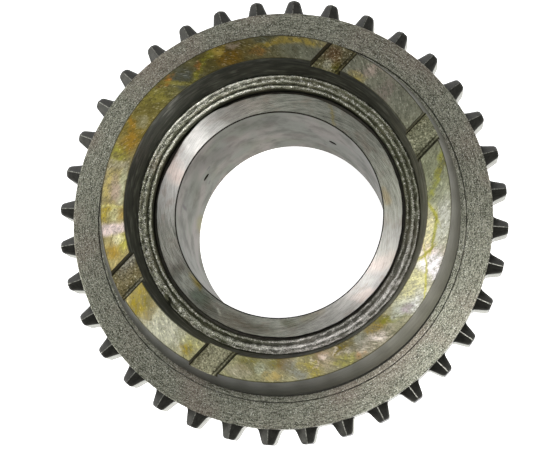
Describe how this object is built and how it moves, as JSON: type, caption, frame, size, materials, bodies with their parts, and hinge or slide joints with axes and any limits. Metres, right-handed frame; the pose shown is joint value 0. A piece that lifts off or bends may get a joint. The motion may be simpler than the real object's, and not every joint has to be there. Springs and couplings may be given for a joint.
{
  "type": "planetary sun gear clutch hub",
  "caption": "Bored sun gear sleeve with a welded hub: friction cone, grooved end face and a ring of pointed dog teeth.",
  "frame": {"origin": "centre of the sleeve's rear face, on the axis", "axes": "+Z along the axis towards the grooved end face; the two oil grooves run at 46.5 degrees from +X towards +Y"},
  "size_m": [0.132, 0.132, 0.0612],
  "materials": {
    "ring_steel": "fine turned, sparkling grain",
    "hub_steel": "ground, with yellow-brown oil stains",
    "weld_metal": "rough rippled weld",
    "sleeve_steel": "ground bore and flange face"
  },
  "bodies": {
    "root": {"clutch_ring": "ring_steel", "cone_hub": "hub_steel", "weld_bead": "weld_metal", "sun_gear_sleeve": "sleeve_steel"}
  },
  "joints": []
}
